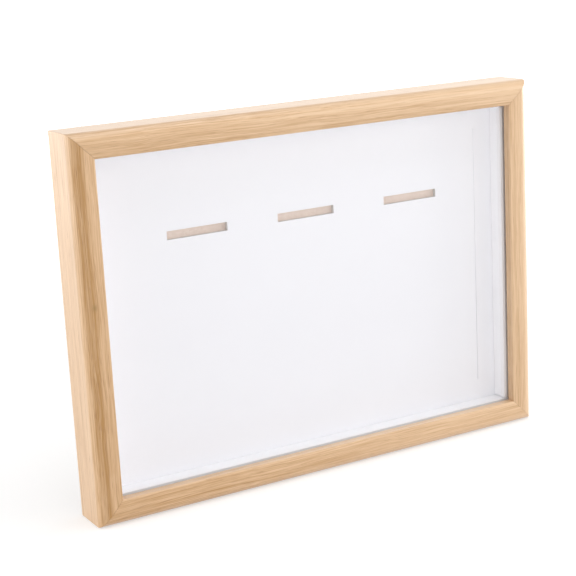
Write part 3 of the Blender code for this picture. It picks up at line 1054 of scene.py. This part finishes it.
@dataclass
class Hardware:
    """The turn buttons, hangers, screws and bumpers on the back."""

    wall_middle: float = 0.0045
    hanger_inset: float = 0.0057
    seat: float = 0.0003
    arris: float = 0.0002
    button_thickness: float = 0.001
    eye_radius: float = 0.004
    nose_radius: float = 0.0032
    nose_reach: float = 0.013
    button_hole: float = 0.0018
    button_spread: float = 0.080
    screw_radius: float = 0.0014
    screw_length: float = 0.011
    screw_point: float = 0.0022
    head_radius: float = 0.0029
    head_height: float = 0.0015
    head_rim: float = 0.0004
    recess_width: float = 0.0007
    recess_span: float = 0.0032
    recess_depth: float = 0.0008
    recess_taper: Point = (0.55, 0.8, 1.0)
    strap_width: float = 0.005
    strap_thickness: float = 0.0008
    strap_length: float = 0.021
    strap_round: float = 0.0018
    strap_arris: float = 0.0001
    strap_hole_inset: float = 0.0045
    wire: float = 0.00075
    wire_sides: int = 20
    ring_clearance: float = 0.0003
    ring_bend: float = 0.0016
    ring_drop: float = 0.0088
    eye_wrap: float = math.radians(285)
    round_steps: int = 8
    loop_steps: int = 28
    hanger_height: float = 0.168
    bumper_radius: float = 0.004
    bumper_height: float = 0.0048
    bumper_round: float = 0.0014
    bumper_inset: float = 0.022

    def button(self) -> Shape:
        """Return a turn button, its screw hole at the origin and its nose along +X.

        Returns:
            The button.
        """
        thickness = self.button_thickness
        nose = (self.nose_reach - self.nose_radius, 0.0, 0.0)
        bm = rod(self.nose_radius, thickness, nose, rod(self.eye_radius, thickness))
        hull = bmesh.ops.convex_hull(bm, input=bm.verts[:])
        loose = set(points_in(hull["geom_interior"]) + points_in(hull["geom_unused"]))
        bmesh.ops.delete(bm, geom=list(loose), context="VERTS")
        bmesh.ops.dissolve_limit(bm, angle_limit=math.radians(1), verts=bm.verts, edges=bm.edges)
        bm = carve(bm, [rod(self.button_hole, 2 * thickness)])
        soften(bm, self.arris, 3, steeper(60))
        return bm

    def screw(self) -> Shape:
        """Return a pan-head screw, the head's underside at Z 0 and the shank down -Z.

        Returns:
            The screw.
        """
        dome = self.head_height - self.head_rim
        steps = range(self.round_steps + 1)
        turns = [QUARTER_TURN * (1 - step / self.round_steps) for step in steps]
        round_top = [
            (self.head_radius - dome + dome * math.cos(turn), self.head_rim + dome * math.sin(turn))
            for turn in turns]
        bm = lathe([
            (0.0, self.head_height), *round_top, (self.head_radius, 0.0), (self.screw_radius, 0.0),
            (self.screw_radius, self.screw_point - self.screw_length), (0.0, -self.screw_length)])
        tools = []
        for turn in (0.0, QUARTER_TURN):
            slot = bmesh.new()
            bmesh.ops.create_cube(slot, size=1.0)
            size = (self.recess_span, self.recess_width, 2 * self.recess_depth)
            bmesh.ops.scale(slot, vec=size, verts=slot.verts)
            low = [vert for vert in slot.verts if vert.co.z < 0]
            bmesh.ops.scale(slot, vec=self.recess_taper, verts=low)
            top = Matrix.Translation((0.0, 0.0, self.head_height))
            tools.append(moved(slot, top @ Matrix.Rotation(turn, 4, "Z")))
        return carve(bm, tools)

    def strap(self) -> Shape:
        """Return a hanger strap round its eye: local X along the eye, Y up and Z out of the back.

        Returns:
            The strap.
        """
        bore = self.wire + self.ring_clearance
        foot_y = -self.strap_length
        bm = bmesh.new()
        ends = [bm.verts.new((side * self.strap_width / 2, 0.0, -bore)) for side in (-1, 1)]
        start = bm.edges.new(ends)
        bmesh.ops.spin(
            bm, geom=[*ends, start], axis=(1.0, 0.0, 0.0), angle=-self.eye_wrap,
            steps=self.loop_steps)
        foot = points_in(bmesh.ops.extrude_edge_only(bm, edges=[start])["geom"])
        bmesh.ops.translate(bm, vec=(0.0, foot_y, 0.0), verts=foot)
        weld(bm)
        flat = min(bm.faces, key=lambda face: face.calc_center_median().y)
        if flat.normal.z > 0:
            bmesh.ops.reverse_faces(bm, faces=bm.faces)
        bmesh.ops.solidify(bm, geom=bm.faces[:], thickness=-self.strap_thickness)
        weld(bm)

        def foot_corner(edge: bmesh.types.BMEdge) -> bool:
            """Whether an edge runs through the plate at a corner of its foot."""
            first, second = (vert.co for vert in edge.verts)
            return max(first.y, second.y) < foot_y + NEAR and abs(first.x - second.x) < NEAR

        soften(bm, self.strap_round, self.round_steps, foot_corner)
        soften(bm, self.strap_arris, choose=steeper(60))
        hole_place = (0.0, foot_y + self.strap_hole_inset, 0.0)
        hole = rod(self.screw_radius + self.seat, self.strap_width * 2, hole_place)
        return carve(bm, [hole])

    def ring(self) -> Shape:
        """Return a hanger ring: a bar along X through the origin and a hoop that hangs down -Y.

        Returns:
            The ring.
        """
        half = self.strap_width / 2 + self.ring_clearance + self.wire
        arm, level = half - self.ring_bend, half - self.ring_drop
        # Each arc's centre and radius, its first and last heading in quarter turns, and its steps
        arcs = (
            (0.0, 0.0, 0.0, 0, 0, 0),
            (arm, -self.ring_bend, self.ring_bend, 0, 1, self.round_steps),
            (0.0, level, half, 1, 3, self.loop_steps),
            (-arm, -self.ring_bend, self.ring_bend, 3, 4, self.round_steps),
        )
        turns = [2 * math.pi * side / self.wire_sides for side in range(self.wire_sides)]
        section = [(self.wire * math.cos(turn), self.wire * math.sin(turn)) for turn in turns]
        bm = bmesh.new()
        rims = []
        for x, y, radius, first, last, steps in arcs:
            for step in range(steps + 1):
                heading = -QUARTER_TURN * (first + (last - first) * step / max(steps, 1))
                place = Matrix.Translation((x, y, 0.0)) @ Matrix.Rotation(heading, 4, "Z")
                rims.append([
                    bm.verts.new(place @ Vector((0.0, radius + out, up))) for out, up in section])
        for rim, after in zip(rims, rims[1:] + rims[:1]):
            for face in zip(rim, rim[1:] + rim[:1], after[1:] + after[:1], after):
                bm.faces.new(face)
        return bm

    def bumper(self) -> Shape:
        """Return a bumper that stands on Z 0 with a rounded rim.

        Returns:
            The bumper.
        """
        def level_at(height: float) -> Test:
            """Return a test for edges that lie at a height."""
            return lambda edge: all(abs(vert.co.z - height) < NEAR for vert in edge.verts)

        bm = rod(self.bumper_radius, self.bumper_height, (0.0, 0.0, self.bumper_height / 2))
        soften(bm, self.bumper_round, self.round_steps, level_at(self.bumper_height))
        soften(bm, self.arris, choose=level_at(0.0))
        return bm

    def fit(self, fitting: Fitting, name: str, place: Matrix) -> None:
        """Keep a copy of a fitting at its place.

        Args:
            fitting: what is copied.
            name: how the names of the piece and of its node end.
            place: where it goes.
        """
        node = fitting.node + name
        keep(
            moved(fitting.shape.copy(), place), fitting.piece + name, node,
            [fitting.finish], node if fitting.moves else "frame")

    def build(self, zinc: Material) -> None:
        """Make every piece on the back.

        Args:
            zinc: the finish of the buttons, straps and rings.
        """
        steel, plated = ("zinc_steel", zinc), ("screw_steel", PLATED.dress())
        screw_shape = self.screw()
        button = Fitting(self.button(), "pressed_button_", "turn_button_", *steel, moves=True)
        button_screw = Fitting(screw_shape, "button_screw_", "turn_button_screw_", *plated)
        strap = Fitting(self.strap(), "folded_strap_", "hanger_strap_", *steel)
        ring = Fitting(self.ring(), "wire_ring_", "hanger_ring_", *steel, moves=True)
        strap_screw = Fitting(screw_shape, "strap_screw_", "hanger_screw_", *plated)
        rubber = ("black_rubber", RUBBER.dress())
        bumper = Fitting(self.bumper(), "rubber_bumper_", "bumper_", *rubber)
        middle, high, low = OUTER_HEIGHT / 2, OUTER_HEIGHT - self.wall_middle, self.wall_middle
        spread, far = self.button_spread, OUTER_WIDTH / 2 - self.wall_middle
        # Each button's place, its turn and its screw's turn in degrees
        places = {
            "top_left": (-spread, high, 90, 20), "top_right": (spread, high, 90, 55),
            "bottom_left": (-spread, low, -90, 75), "bottom_right": (spread, low, -90, 8),
            "left": (-far, middle, 0, 40), "right": (far, middle, 180, 63),
        }
        seat = RAIL_DEPTH + self.seat
        button_middle = seat + self.button_thickness / 2
        button_head = seat + self.button_thickness + self.seat
        for name, (x, z, turn, screw_turn) in places.items():
            self.fit(button, name, on_back(x, button_middle, z, turn))
            self.fit(button_screw, name, on_back(x, button_head, z, screw_turn))
        eye_y = FRONT_Y + seat + self.strap_thickness + self.wire + self.ring_clearance
        strap_head = seat + self.strap_thickness + self.seat
        screw_z = self.hanger_height - self.strap_length + self.strap_hole_inset
        upright = Matrix.Rotation(QUARTER_TURN, 4, "X") @ Matrix.Scale(-1, 4, (0.0, 0.0, 1.0))
        for side, screw_turn in ((Side.LEFT, 30), (Side.RIGHT, 66)):
            x = side.way * (OUTER_WIDTH / 2 - self.hanger_inset)
            eye = Matrix.Translation((x, eye_y, self.hanger_height)) @ upright
            self.fit(strap, side.lower, eye)
            self.fit(ring, side.lower, eye)
            self.fit(strap_screw, side.lower, on_back(x, strap_head, screw_z, screw_turn))
        for row, end in CORNERS:
            x = end.way * (OUTER_WIDTH / 2 - self.bumper_inset)
            place = on_back(x, seat, high if row is Side.TOP else low)
            self.fit(bumper, "%s_%s" % (row.lower, end.lower), place)
        for shape in (screw_shape, button.shape, strap.shape, ring.shape, bumper.shape):
            shape.free()


@dataclass(frozen=True)
class Lamp:
    """A soft rectangular lamp that faces the object; its size is a width and a height."""

    name: str
    place: Point
    size: tuple[float, float]
    watts: float

    def build(self) -> None:
        """Hang the lamp."""
        light = bpy.data.lights.new(self.name, "AREA")
        light.shape = "RECTANGLE"
        light.size, light.size_y = self.size
        light.energy = self.watts
        lamp = show(self.name, light)
        lamp.location = self.place
        away = Vector((0.0, 0.0, OUTER_HEIGHT / 2)) - lamp.location
        lamp.rotation_euler = away.to_track_quat("-Z", "Y").to_euler()


LAMPS = (
    Lamp("lamp_front", (-0.75, -2.20, 0.50), (2.2, 1.2), 9.9),
    Lamp("lamp_left", (-2.10, 0.50, 0.50), (2.6, 1.05), 22.9),
    Lamp("lamp_back_left", (-1.35, 1.50, 0.35), (1.6, 0.7), 8.0),
    Lamp("lamp_back", (1.15, 1.90, 0.75), (1.8, 0.9), 2.4),
    Lamp("lamp_top", (0.20, -0.40, 1.95), (1.6, 1.4), 15.5),
    Lamp("lamp_right", (1.78, -0.12, 0.34), (1.4, 0.65), 17.6),
    Lamp("lamp_side", (1.30, -1.50, 1.00), (1.0, 0.8), 6.8),
)


@dataclass
class Studio:
    """The floor, the lamps, the world and the camera."""

    floor_radius: float = 9.0
    floor_drop: float = 0.0002
    floor_colour: Colour = (0.88, 0.88, 0.88)
    floor_seen: Colour = (0.56, 0.56, 0.56)
    floor_glow: tuple[float, float] = (0.50, 1.0)
    floor_reach: tuple[float, float] = (0.35, 1.1)
    world_level: float = 0.42
    lens: float = 92.785
    camera_place: Point = (-0.45138, -0.76869, 0.33328)
    camera_turn: Point = (76.2338, 2.9400, -30.1981)

    def floor(self) -> None:
        """Make a plain pale floor that keeps the object's shadow and looks white round it."""
        bm = bmesh.new()
        bmesh.ops.create_circle(bm, cap_ends=True, segments=96, radius=self.floor_radius)
        floor = show("floor", moved(bm, Matrix.Translation((0.0, 0.0, -self.floor_drop))))
        finish = Finish("pale_floor")
        finish.set(Base_Color=self.floor_colour, Roughness=0.95, Specular_IOR_Level=0.0)
        x, y, _ = finish.split()
        off = finish.calc("SQRT", finish.calc("MULTIPLY_ADD", x, x, finish.calc("MULTIPLY", y, y)))
        glow = finish.span(off, *self.floor_reach, *self.floor_glow)
        seen = finish.add(
            "AddShader", finish.add("BsdfDiffuse", self.floor_seen).outputs[0],
            finish.add("Emission", WHITE, glow).outputs[0])
        finish.pick(SEEN, finish.shader.outputs[0], seen.outputs[0], "Material Output")
        floor.data.materials.append(finish.material)

    def world(self) -> None:
        """Make an even world that looks white and lights the object softly."""
        world = bpy.data.worlds.new("studio")
        bpy.context.scene.world = world
        world.use_nodes = True
        nodes = Nodes(world.node_tree)
        light = nodes.tree.nodes["Background"]
        nodes.feed(light.inputs[0], WHITE)
        nodes.feed(light.inputs[1], self.world_level)
        white = nodes.add("Background", WHITE)
        nodes.pick(SEEN, light.outputs[0], white.outputs[0], "World Output")

    def camera(self) -> None:
        """Set the camera at the photograph's viewing angle."""
        camera = bpy.data.cameras.new("camera")
        camera.lens = self.lens
        camera.sensor_width = 36.0
        camera.clip_start = 0.01
        camera.clip_end = 40.0
        holder = show("camera", camera)
        holder.location = self.camera_place
        holder.rotation_euler = tuple(math.radians(angle) for angle in self.camera_turn)
        bpy.context.scene.camera = holder

    def build(self) -> None:
        """Set the stage."""
        bpy.context.scene.view_settings.view_transform = "Standard"
        self.floor()
        self.world()
        for lamp in LAMPS:
            lamp.build()
        self.camera()


def main() -> None:
    """Build the sub-assemblies in order."""
    logging.basicConfig(level=logging.INFO, format="%(name)s: %(message)s")
    zinc = ZINC.dress()
    Studio().build()
    OakFrame().build(zinc)
    Interior().build()
    Hardware().build(zinc)


if __name__ == "__main__":
    main()
